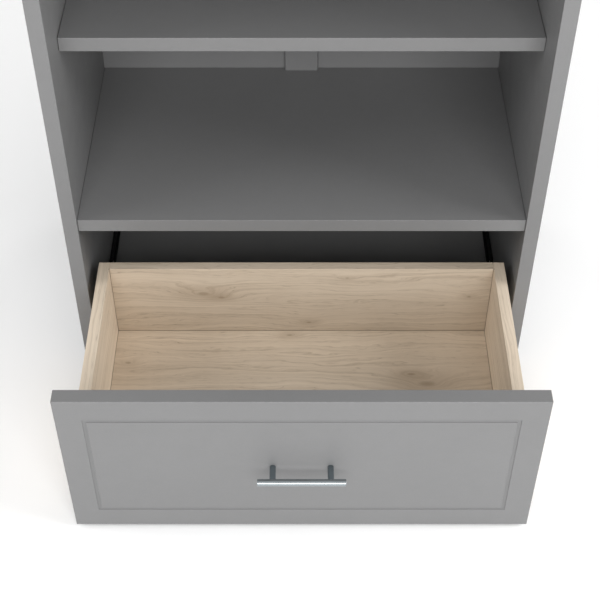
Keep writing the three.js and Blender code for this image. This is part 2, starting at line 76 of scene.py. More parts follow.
# name, place, point it is aimed at, width and height, watts
AREA_LIGHTS = (
    ("front", (0.25, -4.1, 2.25), (0, 0, 0.3), (3.9, 2.9), 164),
    ("side_left", (-4.2, -0.8, 2.2), (0, -0.3, 0.2), (2.6, 2.6), 82),
    ("side_right", (4.2, -0.8, 2.2), (0, -0.3, 0.2), (2.6, 2.6), 142),
    ("ceiling", (0, -0.9, 4.2), (0, -0.4, 0), (4.0, 3.0), 18),
    ("rear_left", (-2.3, 2.4, 1.9), (-1.1, 0.5, 0), (1.6, 1.6), 18),
    ("rear_right", (2.3, 2.4, 1.9), (1.1, 0.5, 0), (1.6, 1.6), 18),
)
WORLD_STRENGTH = 0.31

FLOOR_REACH = 9.0
FLOOR_ALBEDO = 0.96
FLOOR_ROUGHNESS = 0.9


def add_camera():
    data = bpy.data.cameras.new("camera")
    data.lens = CAMERA_LENS
    data.sensor_width = CAMERA_SENSOR
    data.clip_end = CAMERA_REACH
    camera = bpy.data.objects.new("camera", data)
    camera.location = (CAMERA_SIDE, FRONT_Y - CAMERA_AHEAD, CAMERA_HEIGHT)
    camera.rotation_euler = (math.pi / 2 - CAMERA_DOWN, 0, 0)
    bpy.context.scene.collection.objects.link(camera)
    bpy.context.scene.camera = camera


def add_lights():
    for name, place, target, size, watts in AREA_LIGHTS:
        data = bpy.data.lights.new(name, "AREA")
        data.shape = "RECTANGLE"
        data.size, data.size_y = size
        data.energy = watts
        light = bpy.data.objects.new(name, data)
        light.location = place
        light.rotation_euler = (Vector(target) - Vector(place)).to_track_quat("-Z", "Y").to_euler()
        bpy.context.scene.collection.objects.link(light)
    world = bpy.data.worlds.new("studio")
    world.use_nodes = True
    background = world.node_tree.nodes["Background"]
    background.inputs["Color"].default_value = (1, 1, 1, 1)
    background.inputs["Strength"].default_value = WORLD_STRENGTH
    bpy.context.scene.world = world


def add_floor():
    mesh = bpy.data.meshes.new("floor")
    corners = [(x * FLOOR_REACH, y * FLOOR_REACH, FLOOR_Z) for x, y in AROUND]
    mesh.from_pydata(corners, [], [(0, 1, 2, 3)])
    floor = bpy.data.objects.new("floor", mesh)
    bpy.context.scene.collection.objects.link(floor)
    material = bpy.data.materials.new("floor")
    material.use_nodes = True
    shader = material.node_tree.nodes["Principled BSDF"]
    shader.inputs["Base Color"].default_value = (FLOOR_ALBEDO, FLOOR_ALBEDO, FLOOR_ALBEDO, 1)
    shader.inputs["Roughness"].default_value = FLOOR_ROUGHNESS
    mesh.materials.append(material)


# ================================================================ shader helpers

# Painted shade: dark lines where boards meet, standing in for the shade that falls in those corners
JOINT_SHADE_CORE = 0.35 * MM                           # full strength of a painted shade line along a joint, either side of it
JOINT_SHADE_REACH = 1.3 * MM
JOINT_SHADE_STRENGTH = 0.75
JOINT_SHADE_FACE = (1 * MM, 2 * MM)                    # how far off its face a painted shade line along a joint fades out

# Sockets of a Mix node set to colour
MIX_SHARE, MIX_FIRST, MIX_SECOND, MIX_RESULT = 0, 6, 7, 2


class Graph:
    """Node tree of one material, with short calls for the nodes used here. Lengths are in metres."""

    def __init__(self, name, roughness, metallic=0.0, specular=0.5):
        self.material = bpy.data.materials.new(name)
        self.material.use_nodes = True
        self.tree = self.material.node_tree
        self.shader = self.tree.nodes["Principled BSDF"]
        self.shader.inputs["Roughness"].default_value = roughness
        self.shader.inputs["Metallic"].default_value = metallic
        self.shader.inputs["Specular IOR Level"].default_value = specular
        self.place = self.add("ShaderNodeTexCoord").outputs["Object"]
        self.x, self.y, self.z = self.add("ShaderNodeSeparateXYZ", {"Vector": self.place}).outputs

    def add(self, kind, inputs=None, **settings):
        node = self.tree.nodes.new(kind)
        for key, value in settings.items():
            setattr(node, key, value)
        for key, value in (inputs or {}).items():
            self.feed(node.inputs[key], value)
        return node

    def feed(self, socket, value):
        if isinstance(value, bpy.types.NodeSocket):
            self.tree.links.new(value, socket)
        else:
            socket.default_value = value

    def math(self, operation, *values, clamp=False):
        node = self.add("ShaderNodeMath", operation=operation, use_clamp=clamp)
        for socket, value in zip(node.inputs, values):
            self.feed(socket, value)
        return node.outputs[0]

    def sum(self, *values):
        total = values[0]
        for value in values[1:]:
            total = self.math("ADD", total, value)
        return total

    def times(self, *values):
        total = values[0]
        for value in values[1:]:
            total = self.math("MULTIPLY", total, value)
        return total

    def gap(self, value, place):
        return self.math("ABSOLUTE", self.math("SUBTRACT", value, place))

    def vector(self, x, y, z):
        return self.add("ShaderNodeCombineXYZ", {"X": x, "Y": y, "Z": z}).outputs[0]

    def noise(self, scale, detail, roughness=0.5):
        """Noise that is the same in every direction."""
        inputs = {"Vector": self.place, "Scale": scale, "Detail": detail, "Roughness": roughness}
        return self.add("ShaderNodeTexNoise", inputs).outputs[0]

    def drawn_noise(self, x, y, z, detail, roughness=0.5):
        """Noise over coordinates that are already scaled, each by its own amount."""
        inputs = {"Vector": self.vector(x, y, z), "Scale": 1.0, "Detail": detail, "Roughness": roughness}
        return self.add("ShaderNodeTexNoise", inputs).outputs[0]

    def remap(self, value, low, high, to_low=0.0, to_high=1.0, kind="SMOOTHSTEP"):
        inputs = {"Value": value, "From Min": low, "From Max": high, "To Min": to_low, "To Max": to_high}
        return self.add("ShaderNodeMapRange", inputs, interpolation_type=kind).outputs[0]

    def spread(self, noise, to_low, to_high, low=0.3, high=0.7):
        """A noise's usual range, low to high, stretched evenly over to_low to to_high."""
        return self.remap(noise, low, high, to_low, to_high, "LINEAR")

    def mix(self, share, first, second, blend="MIX"):
        node = self.add("ShaderNodeMix", data_type="RGBA", blend_type=blend)
        self.feed(node.inputs[MIX_SHARE], share)
        self.feed(node.inputs[MIX_FIRST], colour4(first))
        self.feed(node.inputs[MIX_SECOND], colour4(second))
        return node.outputs[MIX_RESULT]

    def shaded(self, colour, brightness):
        """A colour times a brightness that varies over the surface."""
        return self.mix(1.0, colour, self.vector(brightness, brightness, brightness), "MULTIPLY")

    def bump(self, height, distance, strength, under=None):
        inputs = {"Height": height, "Distance": distance, "Strength": strength}
        if under is not None:
            inputs["Normal"] = under
        return self.add("ShaderNodeBump", inputs).outputs[0]

    def edge_distance(self, low, high):
        """Distance along the surface of a box from low to high to that surface's nearest edge."""
        gaps = []
        for axis, value in enumerate((self.x, self.y, self.z)):
            from_low = self.math("SUBTRACT", value, low[axis])
            from_high = self.math("SUBTRACT", high[axis], value)
            gaps.append(self.math("MINIMUM", from_low, from_high))
        least = self.math("MINIMUM", gaps[0], gaps[1])
        most = self.math("MAXIMUM", gaps[0], gaps[1])
        return self.math("MAXIMUM", least, self.math("MINIMUM", most, gaps[2]))

    def joint_shade_lines(self, colour, shade_seams, shade_colour):
        """Paints shade along the lines where other boards meet this one, standing in for the shade in those
        corners.
        A seam is (axis, value), or with (face axis, face value) added to keep the line to one face."""
        axes = (self.x, self.y, self.z)
        for axis, value, *face in shade_seams:
            # painted shade along the joint, fading out away from it
            line = self.remap(self.gap(axes[axis], value), JOINT_SHADE_CORE, JOINT_SHADE_REACH, JOINT_SHADE_STRENGTH, 0.0)
            if face:
                off_face = self.gap(axes[face[0]], face[1])
                line = self.times(line, self.remap(off_face, *JOINT_SHADE_FACE, 1.0, 0.0))
            colour = self.mix(line, colour, shade_colour)
        return colour

    def finish(self, colour, roughness, normal):
        self.feed(self.shader.inputs["Base Color"], colour)
        self.feed(self.shader.inputs["Roughness"], roughness)
        self.feed(self.shader.inputs["Normal"], normal)
        return self.material


def colour4(value):
    if isinstance(value, bpy.types.NodeSocket):
        return value
    return (*value, 1.0)


def scaled(colour, factor):
    return tuple(channel * factor for channel in colour)


# ================================================================ materials

GREY = (0.189, 0.189, 0.190)
OAK_LIGHT = (0.765, 0.652, 0.518)
OAK_MIDDLE = (0.605, 0.500, 0.385)
OAK_LINE = (0.450, 0.350, 0.250)
OAK_DARK = (0.290, 0.210, 0.140)
NICKEL_BAR = (0.325, 0.355, 0.370)
# posts: the bar's nickel made darker, painted shade standing in for the darker reflection they show
NICKEL_POST_SHADED = (0.245, 0.290, 0.315)
ZINC_BLUE = (0.60, 0.61, 0.63)
ZINC_YELLOW = (0.72, 0.71, 0.67)
COAT_DARK = (0.012, 0.012, 0.013)
COAT_LIGHT = (0.024, 0.024, 0.026)
COAT_RUBBED = (0.11, 0.11, 0.12)
BLACK_PLASTIC = (0.03, 0.03, 0.032)

# Grey paint. A share is how much of the new colour is mixed in where an effect is at its strongest.
CLOUD_SWING = 0.016                             # changes of brightness, up and down
MOTTLE_SWING = 0.010
SPECK_SWING = 0.03
RUB_WIDTH = 1.1 * MM                            # lighter band along a board's edges: partly rubbed paint, partly a painted highlight on the eased edge
RUB_NOISE = (0.42, 0.66)
RUB_HIGHLIGHT_SHARE = 0.45
RUB_HIGHLIGHT_GREY = 1.7
RUB_ROUGHNESS = 0.12                            # added where the paint is rubbed
GROOVE_DEPTH = 1.6 * MM                         # routed ring in the drawer front
GROOVE_WALL = (0.25, 0.9)                       # shares of the depth between which the shade sets in
GROOVE_PAST = (1.4, 1.2)                        # and past which it ends
GROOVE_NEAR_EDGE = (8 * MM, 12 * MM)            # the front's own rim, left out of the groove's shade
# painted shade in the routed groove, standing in for the shade its walls cast
GROOVE_SHADE_SHARE = 0.10
GROOVE_SHADE_GREY = 0.62
# grey of the painted shade along joints
JOINT_SHADE_GREY = 0.18
PAINT_ROUGHNESS = (0.40, 0.52)

# Oak: how the growth rings lie
RING_LEAN = 0.85                                # growth-ring planes lean through the board
RING_DRIFT = 15 * MM                            # and wander along it
DRIFT_ALONG, DRIFT_ACROSS = 1.7, 8              # waves per metre
RIPPLE_ALONG, RIPPLE_ACROSS, RIPPLE_THROUGH = 7.5, 38, 30
WANDER_NOISE = (0.2, 0.8)
KNOT_STRETCH = 0.40                             # a knot's width over its length
KNOT_FADE = 1.9                                 # radii over which a knot bends the rings
KNOT_LIFT = 5.0                                 # radii by which it bends them
KNOT_HEART = (0.85, 0.2)                        # radii between which the heart darkens
KNOT_HALO = (4.2, 0.5)
# band along the edges that is lightened: partly worn wood, partly a painted highlight
WORN_HIGHLIGHT_EDGE = (0.2 * MM, 1.3 * MM)

# Oak's layers of grain: waves per metre along the grain and across the rings, seed step, detail, roughness
BROAD = (0.9, 13, 0, 2, 0.5)
RINGS = (1.5, 150, 3, 3, 0.6)
LINES = (3.5, 430, 7, 2, 0.6)
PORES = (42, 900, 11, 1, 0.5)
FLECKS = (24, 170, 17, 1, 0.5)

# Oak's tint, from light to middle colour: what each layer adds at its low and its high
BROAD_TINT = (0.0, 0.34)
RING_TINT = (-0.16, 0.56)
RING_NOISE = (0.32, 0.70)
CLOUD_TINT = (-0.08, 0.10)

# Ranges of noise over which an effect of oak sets in: in its own layer, then in a second one
LATE_NOISE = ((0.50, 0.66), (0.36, 0.60))
PORE_NOISE = ((0.56, 0.70), (0.40, 0.62))
FLECK_NOISE = ((0.70, 0.78), (0.45, 0.60))
WORN_HIGHLIGHT_NOISE = (0.35, 0.6)

# Oak's shares of darker and lighter colour
LATE_SHARE = 0.48                               # late wood, the dark line of each ring
PORE_SHARE = 0.36
FLECK_SHARE = 0.55
HALO_SHARE = 0.38
HEART_SHARE = 0.55
HEART_TONE = 1.1
# edges lighter: partly worn wood, partly a painted highlight on the eased edge
WORN_HIGHLIGHT_SHARE = 0.40
WORN_HIGHLIGHT_TONE = 1.12
# darkness of the painted shade along joints
JOINT_SHADE_TONE = 0.8
OAK_ROUGHNESS = (0.44, 0.56)
PORE_ROUGHNESS = 0.14                           # added in the pores
LINE_RELIEF = 0.5
PORE_RELIEF = -0.9

# Waves per metre across and along the brush lines of nickel, and across and along the run of black steel
BRUSH_ACROSS, BRUSH_ALONG = 5200.0, 90.0
COAT_ACROSS, COAT_ALONG = 700, 12


def grey_board(node, tone=1.0, groove=False, shade_seams=()):
    """Satin grey painted board: faint roller texture, slight mottling, edges a little lighter, partly rubbed
    paint and partly a painted highlight. With groove, a routed ring GROOVE_DEPTH deep in its front face is
    darkened with painted shade; joints with other boards get painted shade lines."""
    g = Graph(f"grey_{node}", roughness=0.46, specular=0.42)
    low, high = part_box(node)
    clouds = g.noise(scale=3.2, detail=4, roughness=0.6)
    mottle = g.noise(scale=55, detail=3)
    specks = g.noise(scale=900, detail=2)
    brightness = g.sum(g.spread(clouds, -CLOUD_SWING, CLOUD_SWING),
                       g.spread(mottle, -MOTTLE_SWING, MOTTLE_SWING),
                       g.spread(specks, -SPECK_SWING, SPECK_SWING), 1.0)
    base = g.shaded(scaled(GREY, tone), brightness)

    distance = g.edge_distance(low, high)
    breakup = g.noise(scale=160, detail=4, roughness=0.65)
    # edges lighter: partly rubbed paint, partly a painted highlight where the eased edge catches the light
    rub_and_highlight = g.times(g.remap(distance, 0.0, RUB_WIDTH, 1.0, 0.0), g.remap(breakup, *RUB_NOISE))
    base = g.mix(g.times(rub_and_highlight, RUB_HIGHLIGHT_SHARE), base, scaled(GREY, RUB_HIGHLIGHT_GREY * tone))
    # painted shade in the routed groove
    if groove:
        sunk = g.remap(g.y, *(low.y + share * GROOVE_DEPTH for share in GROOVE_WALL))
        inside = g.remap(distance, *GROOVE_NEAR_EDGE)
        within = g.remap(g.y, *(low.y + share * GROOVE_DEPTH for share in GROOVE_PAST))
        base = g.mix(g.times(sunk, inside, within, GROOVE_SHADE_SHARE), base, scaled(GREY, GROOVE_SHADE_GREY * tone))

    # painted shade along the joints with other boards
    base = g.joint_shade_lines(base, shade_seams, scaled(GREY, JOINT_SHADE_GREY))
    handling = g.noise(scale=9, detail=5, roughness=0.6)
    roughness = g.sum(g.spread(handling, *PAINT_ROUGHNESS), g.times(rub_and_highlight, RUB_ROUGHNESS))
    peel = g.bump(g.noise(scale=420, detail=2), distance=0.08 * MM, strength=0.6)
    return g.finish(base, roughness, g.bump(specks, distance=0.02 * MM, strength=0.35, under=peel))


def light_oak(node, along, knots, shade_seams, tone, seed=0.0, wave=10 * MM):
    """Light oak surface. along is the grain's axis, 0, 1 or 2, and wave how far the rings ripple across it.
    Each knot is (place along the grain, place across it, radius), in the row frame; the across axis is the
    board's other long one. The seam list is as in the joint shade helper above: where painted shade darkens
    the joints. Edges are lightened, partly as worn wood and partly as a painted highlight."""
    g = Graph(f"light_oak_{node}", roughness=0.5, specular=0.36)
    low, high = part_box(node)
    size = high - low
    axes = (g.x, g.y, g.z)
    others = sorted((axis for axis in range(3) if axis != along), key=lambda axis: -size[axis])
    a, c, n = axes[along], axes[others[0]], axes[others[1]]

    # field is the place across the growth rings, bent by drift, ripple and knots.
    drift = g.drawn_noise(g.times(a, DRIFT_ALONG), g.times(c, DRIFT_ACROSS), seed, detail=2)
    ripple_depth = g.sum(g.times(n, RIPPLE_THROUGH), seed + 1)
    ripple = g.drawn_noise(g.times(a, RIPPLE_ALONG), g.times(c, RIPPLE_ACROSS), ripple_depth, detail=3)
    field = g.sum(c, g.times(n, RING_LEAN), g.spread(drift, -RING_DRIFT, RING_DRIFT, *WANDER_NOISE),
                  g.spread(ripple, -wave, wave, *WANDER_NOISE))
    heart, halo = 0.0, 0.0
    for knot_a, knot_c, radius in knots:
        da = g.times(g.math("SUBTRACT", a, knot_a), KNOT_STRETCH)
        dc = g.math("SUBTRACT", c, knot_c)
        length = g.math("SQRT", g.sum(g.times(da, da), g.times(dc, dc)))
        near = g.math("EXPONENT", g.times(length, -1 / (KNOT_FADE * radius)))
        field = g.sum(field, g.times(near, KNOT_LIFT * radius))
        heart = g.sum(heart, g.remap(length, *(share * radius for share in KNOT_HEART)))
        halo = g.sum(halo, g.remap(length, *(share * radius for share in KNOT_HALO)))

    def layer(along_grain, across_rings, seed_step, detail, roughness):
        return g.drawn_noise(g.times(a, along_grain), g.times(field, across_rings), seed + seed_step,
                             detail, roughness)

    broad, rings, lines, pores, flecks = (layer(*kind) for kind in (BROAD, RINGS, LINES, PORES, FLECKS))
    cloud = g.noise(scale=14, detail=3)

    tint = g.sum(g.spread(broad, *BROAD_TINT), g.spread(rings, *RING_TINT, *RING_NOISE),
                 g.spread(cloud, *CLOUD_TINT))
    tint = g.math("MULTIPLY", tint, 1.0, clamp=True)
    colour = g.mix(tint, scaled(OAK_LIGHT, tone), scaled(OAK_MIDDLE, tone))
    late = g.times(g.remap(lines, *LATE_NOISE[0]), g.remap(rings, *LATE_NOISE[1]))
    pore = g.times(g.remap(pores, *PORE_NOISE[0]), g.remap(rings, *PORE_NOISE[1]))
    fleck = g.times(g.remap(flecks, *FLECK_NOISE[0]), g.remap(cloud, *FLECK_NOISE[1]))
    colour = g.mix(g.times(late, LATE_SHARE), colour, scaled(OAK_LINE, tone))
    colour = g.mix(g.times(pore, PORE_SHARE), colour, scaled(OAK_DARK, tone))
    colour = g.mix(g.times(fleck, FLECK_SHARE), colour, scaled(OAK_DARK, tone))
    halo = g.math("MULTIPLY", halo, HALO_SHARE, clamp=True)
    heart = g.math("MULTIPLY", heart, HEART_SHARE, clamp=True)
    colour = g.mix(halo, colour, scaled(OAK_LINE, tone))
    colour = g.mix(heart, colour, scaled(OAK_DARK, HEART_TONE * tone))

    distance = g.edge_distance(low, high)
    # edges lighter: partly worn wood, partly a painted highlight on the eased edge
    worn_and_highlight = g.times(g.remap(distance, *WORN_HIGHLIGHT_EDGE, 1.0, 0.0), g.remap(lines, *WORN_HIGHLIGHT_NOISE))
    colour = g.mix(g.times(worn_and_highlight, WORN_HIGHLIGHT_SHARE), colour, scaled(OAK_LIGHT, WORN_HIGHLIGHT_TONE * tone))
    # painted shade along the joints with the other boards
    colour = g.joint_shade_lines(colour, shade_seams, scaled(OAK_DARK, JOINT_SHADE_TONE * tone))
    roughness = g.sum(g.spread(rings, *OAK_ROUGHNESS), g.times(pore, PORE_ROUGHNESS))
    relief = g.sum(g.times(lines, LINE_RELIEF), g.times(pore, PORE_RELIEF))
    return g.finish(colour, roughness, g.bump(relief, distance=0.05 * MM, strength=0.45))


def brushed_nickel(name, along, colour, roughness):
    """Satin nickel with fine brush lines along one axis, 0, 1 or 2."""
    g = Graph(name, roughness=roughness, metallic=1.0)
    stretch = [BRUSH_ALONG if axis == along else BRUSH_ACROSS for axis in range(3)]
    lines = g.drawn_noise(*(g.times(value, k) for value, k in zip((g.x, g.y, g.z), stretch)), detail=4)
    smudges = g.noise(scale=45, detail=3)
    base = g.shaded(colour, g.sum(g.spread(lines, -0.04, 0.04), 1.0))
    rough = g.sum(g.spread(lines, -0.03, 0.05), g.remap(smudges, 0.4, 0.7, 0.0, 0.06), roughness)
    return g.finish(base, rough, g.bump(lines, distance=0.003 * MM, strength=0.3))


def zinc_plate():
    """Zinc-plated steel with the faint cloudiness of passivation."""
    g = Graph("zinc_plate", roughness=0.34, metallic=1.0)
    clouds = g.noise(scale=260, detail=4, roughness=0.6)
    grains = g.noise(scale=2200, detail=2)
    base = g.mix(g.remap(clouds, 0.35, 0.65), ZINC_BLUE, ZINC_YELLOW)
    return g.finish(base, g.spread(clouds, 0.26, 0.44), g.bump(grains, distance=0.01 * MM, strength=0.4))


def black_coat():
    """Black electrocoated steel, rubbed to bare metal here and there along its run."""
    g = Graph("black_coat", roughness=0.36, metallic=0.35, specular=0.45)
    run = g.drawn_noise(g.times(g.x, COAT_ACROSS), g.times(g.y, COAT_ALONG), g.times(g.z, COAT_ACROSS),
                        detail=4)
    clouds = g.noise(scale=90, detail=3)
    base = g.mix(g.remap(clouds, 0.3, 0.7), COAT_DARK, COAT_LIGHT)
    base = g.mix(g.times(g.remap(run, 0.64, 0.76), 0.5), base, COAT_RUBBED)
    return g.finish(base, g.spread(run, 0.30, 0.46), g.bump(clouds, distance=0.02 * MM, strength=0.3))


def moulded_plastic(name, colour, roughness=0.55):
    """Moulded plastic with a fine spark-eroded texture."""
    g = Graph(name, roughness=roughness, specular=0.4)
    texture = g.noise(scale=1600, detail=2)
    clouds = g.noise(scale=120, detail=3)
    base = g.mix(g.remap(clouds, 0.3, 0.7), scaled(colour, 0.92), scaled(colour, 1.1))
    rough = g.spread(texture, roughness - 0.07, roughness + 0.08)
    return g.finish(base, rough, g.bump(texture, distance=0.03 * MM, strength=0.5))


# ================================================================ finish of the CAD boards

EASED_BOARD = 0.7 * MM                          # radii of eased edges
EASED_THIN = 0.3 * MM
EASED_STEEL = 0.35 * MM
EASED_STEPS = 3
EASED_FROM = math.radians(40)                   # the least corner that is eased
WELD_REACH = 0.01 * MM

# Bottom panel's grey lightened: painted light standing in for fill light that doesn't reach it behind the
# drawer
BOTTOM_PAINTED_LIGHT = 1.45
BACK_TONE = 0.94
FLOOR_TONE = 0.98
SIDE_TONE = 0.97
SIDE_WAVE = 3.5 * MM
FLOOR_SEED = 5.0
SIDE_SEED = 11.0                                # changed by SIDE_SEED_STEP to the left and right
SIDE_SEED_STEP = 4

# Knots: share of the drawer's inner width from its middle, then share of the back's height above the
# floor or of the floor's length ahead of the back, then radius in mm
BACK_KNOTS = ((-0.260, 0.61, 8.5), (-0.212, 0.55, 4.5), (0.445, 0.56, 3), (0.020, 0.14, 3.5),
              (0.120, 0.86, 2.5))
FLOOR_KNOTS = ((0.330, 0.34, 11), (0.29, 0.28, 5), (-0.462, 0.21, 3.5), (-0.032, 0.03, 4), (0.10, 0.62, 5),
               (-0.28, 0.80, 4))
SIDE_KNOT = (0.12, 60 * MM, 4 * MM)             # share of the length, depth below the top, radius


def give(node, material, eased=EASED_BOARD):
    """Gives a CAD node a material, and eases its sharp edges with modifiers that leave its mesh as it is."""
    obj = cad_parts[node]
    obj.data.materials.clear()
    obj.data.materials.append(material)
    weld = obj.modifiers.new("weld", "WELD")
    weld.merge_threshold = WELD_REACH
    bevel = obj.modifiers.new("ease", "BEVEL")
    bevel.width = eased
    bevel.segments = EASED_STEPS
    bevel.limit_method = "ANGLE"
    bevel.angle_limit = EASED_FROM
    bevel.use_clamp_overlap = False


def finish_boards():
    for node in ("left_side_panel", "right_side_panel", "centre_stile_upper", "centre_stile_lower"):
        give(node, grey_board(node))
    # joints with the sides' inner faces, darkened with painted shade
    ends = [(0, -INNER_X), (0, INNER_X)]
    # bottom panel lightened with painted light
    give("bottom_panel", grey_board("bottom_panel", tone=BOTTOM_PAINTED_LIGHT, shade_seams=ends))
    for node in ["top_panel", "fixed_shelf"] + [f"adjustable_shelf_{number}" for number in SHELVES]:
        give(node, grey_board(node, shade_seams=ends))
    stile_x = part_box("centre_stile_upper")[1].x
    for side, sign in SIDES:
        node = f"back_panel_{side}"
        # painted shade beside the centre stile
        give(node, grey_board(node, shade_seams=[(0, sign * stile_x)]), EASED_THIN)
    give("drawer_front", grey_board("drawer_front", groove=True))


def finish_drawer_box():
    back_low, back_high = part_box("drawer_back")
    inner_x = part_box("drawer_side_right")[0].x
    width = 2 * inner_x
    floor_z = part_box("drawer_floor")[1].z
    front_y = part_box("drawer_front")[1].y
    back_y = back_low.y

    knots = [(across * width, floor_z + up * (back_high.z - floor_z), radius * MM)
             for across, up, radius in BACK_KNOTS]
    # places of painted shade along the joints of the drawer box
    shade_seams = [(0, -inner_x, 1, back_y), (0, inner_x, 1, back_y), (2, floor_z, 1, back_y)]
    give("drawer_back", light_oak("drawer_back", 0, knots, shade_seams, BACK_TONE))

    knots = [(across * width, back_y - forward * (back_y - front_y), radius * MM)
             for across, forward, radius in FLOOR_KNOTS]
    edges = ((0, -inner_x), (0, inner_x), (1, back_y), (1, front_y))
    shade_seams = [(axis, value, 2, floor_z) for axis, value in edges]
    give("drawer_floor", light_oak("drawer_floor", 0, knots, shade_seams, FLOOR_TONE, FLOOR_SEED), EASED_THIN)

    share, depth, radius = SIDE_KNOT
    for side, sign in SIDES:
        node = f"drawer_side_{side}"
        low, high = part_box(node)
        knots = [(low.y + share * (high.y - low.y), high.z - depth, radius)]
        face_x = sign * inner_x
        shade_seams = [(1, back_y, 0, face_x), (2, floor_z, 0, face_x), (1, front_y, 0, face_x)]
        seed = SIDE_SEED + SIDE_SEED_STEP * sign
        give(node, light_oak(node, 1, knots, shade_seams, SIDE_TONE, seed, SIDE_WAVE))


# ================================================================ mesh helpers

STRAIGHT = math.radians(179)                    # corners flatter than this aren't rounded
FILLET_SHARE = 0.45                             # most of a line's length that one fillet may use
AXIS_RADIUS = 1e-7                              # nearer the axis than this, a lathe's ring is one point
MITRE_LEAST = 0.5
SMOOTH_ANGLE = math.radians(35)


def fillet(points, radius, steps=5, closed=False):
    """Rounds the corners of a 2-D line with arcs of up to the given radius."""
    rounded = []
    count = len(points)
    for index, point in enumerate(points):
        if not closed and index in (0, count - 1):
            rounded.append(point)
            continue
        corner = Vector(point)
        before = Vector(points[index - 1]) - corner
        after = Vector(points[(index + 1) % count]) - corner
        angle = before.angle(after)
        if angle > STRAIGHT:
            rounded.append(point)
            continue
        reach = min(radius / math.tan(angle / 2), FILLET_SHARE * before.length, FILLET_SHARE * after.length)
        true_radius = reach * math.tan(angle / 2)
        bisector = (before.normalized() + after.normalized()).normalized()
        centre = corner + bisector * (true_radius / math.sin(angle / 2))
        start = corner + before.normalized() * reach - centre
        end = corner + after.normalized() * reach - centre
        sweep = start.angle_signed(end)
        for step in range(steps + 1):
            turn = -sweep * step / steps
            x = start.x * math.cos(turn) - start.y * math.sin(turn)
            y = start.x * math.sin(turn) + start.y * math.cos(turn)
            rounded.append((centre.x + x, centre.y + y))
    return rounded


def sheet_outline(path, thickness):
    """Closed outline of a bent sheet whose middle line is path."""
    left, right = [], []
    for index, point in enumerate(path):
        before = Vector(point) - Vector(path[max(index - 1, 0)])
        after = Vector(path[min(index + 1, len(path) - 1)]) - Vector(point)
        direction = (before.normalized() + after.normalized()).normalized()
        normal = Vector((-direction.y, direction.x))
        arriving = before if before.length > 0 else after
        lean = max(MITRE_LEAST, arriving.normalized().dot(direction))
        offset = normal * (thickness / 2 / lean)
        left.append(tuple(Vector(point) + offset))
        right.append(tuple(Vector(point) - offset))
    return left + right[::-1]


def lathe(profile, segments):
    """Closed turned solid about +Z, from (radius, height) points that start and end on the axis."""
    solid = bmesh.new()
    rings = []
    for radius, height in profile:
        count = segments if radius > AXIS_RADIUS else 1
        angles = [2 * math.pi * index / segments for index in range(count)]
        rings.append([solid.verts.new((radius * math.cos(t), radius * math.sin(t), height)) for t in angles])
    for lower, upper in zip(rings, rings[1:]):
        for index in range(segments):
            following = (index + 1) % segments
            corners = [lower[index % len(lower)], lower[following % len(lower)],
                       upper[following % len(upper)], upper[index % len(upper)]]
            unique = list(dict.fromkeys(corners))
            if len(unique) > 2:
                solid.faces.new(unique)
    bmesh.ops.recalc_face_normals(solid, faces=solid.faces)
    return solid


def extrude_outline(outline, length):
    """Closed prism of a 2-D outline (x, z), from y = 0 to y = length."""
    solid = bmesh.new()
    near = [solid.verts.new((x, 0, z)) for x, z in outline]
    far = [solid.verts.new((x, length, z)) for x, z in outline]
    solid.faces.new(near)
    solid.faces.new(far[::-1])
    count = len(outline)
    for index in range(count):
        following = (index + 1) % count
        solid.faces.new([near[index], far[index], far[following], near[following]])
    bmesh.ops.recalc_face_normals(solid, faces=solid.faces)
    return solid


def moved(solid, matrix):
    bmesh.ops.transform(solid, matrix=matrix, verts=solid.verts)
    return solid


def join_into(target, source, matrix):
    """Adds a transformed copy of source to target."""
    made = {vertex: target.verts.new(matrix @ vertex.co) for vertex in source.verts}
    for face in source.faces:
        target.faces.new([made[vertex] for vertex in face.verts])


def subtract(solid, cutter):
    """The solid less the cutter, both bmesh; both are used up."""
    objects = []
    for number, part in enumerate((solid, cutter)):
        mesh = bpy.data.meshes.new(f"cut_{number}")
        part.to_mesh(mesh)
        part.free()
        obj = bpy.data.objects.new(f"cut_{number}", mesh)
        bpy.context.scene.collection.objects.link(obj)
        objects.append(obj)
    boolean = objects[0].modifiers.new("cut", "BOOLEAN")
    boolean.operation = "DIFFERENCE"
    boolean.solver = "EXACT"
    boolean.object = objects[1]
    graph = bpy.context.evaluated_depsgraph_get()
    result = bmesh.new()
    result.from_mesh(objects[0].evaluated_get(graph).to_mesh())
    for obj in objects:
        mesh = obj.data
        bpy.data.objects.remove(obj)
        bpy.data.meshes.remove(mesh)
    return result


def turned_to(axis, start, sign=1):
    """Matrix that lays something made along +Z along an axis, 'x', 'y' or 'z', from a start point."""
    turns = {"x": Matrix.Rotation(sign * math.pi / 2, 4, "Y"),
             "y": Matrix.Rotation(-sign * math.pi / 2, 4, "X"),
             "z": Matrix.Rotation(0 if sign > 0 else math.pi, 4, "X")}
    return Matrix.Translation(start) @ turns[axis]


def add_piece(name, solid, material, body, replaced=None):
    """Makes an object of a bmesh in the row frame and puts it on a CAD body, in place of a CAD node if one
    is given."""
    mesh = bpy.data.meshes.new(name)
    bmesh.ops.recalc_face_normals(solid, faces=solid.faces)
    solid.to_mesh(mesh)
    solid.free()
    mesh.materials.append(material)
    mesh.shade_smooth()
    mesh.set_sharp_from_angle(angle=SMOOTH_ANGLE)
    piece = bpy.data.objects.new(name, mesh)
    bpy.context.scene.collection.objects.link(piece)
    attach(piece, body)
    if replaced:
        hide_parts(replaced)


# ================================================================ screws, pins and glides

HANDLE_SCREW = (2.6 * MM, 2.0 * MM)             # head height and shank radius
BRACKET_SCREW = (2.4 * MM, 2.0 * MM)
SLIDE_SCREW = (1.6 * MM, 1.7 * MM)

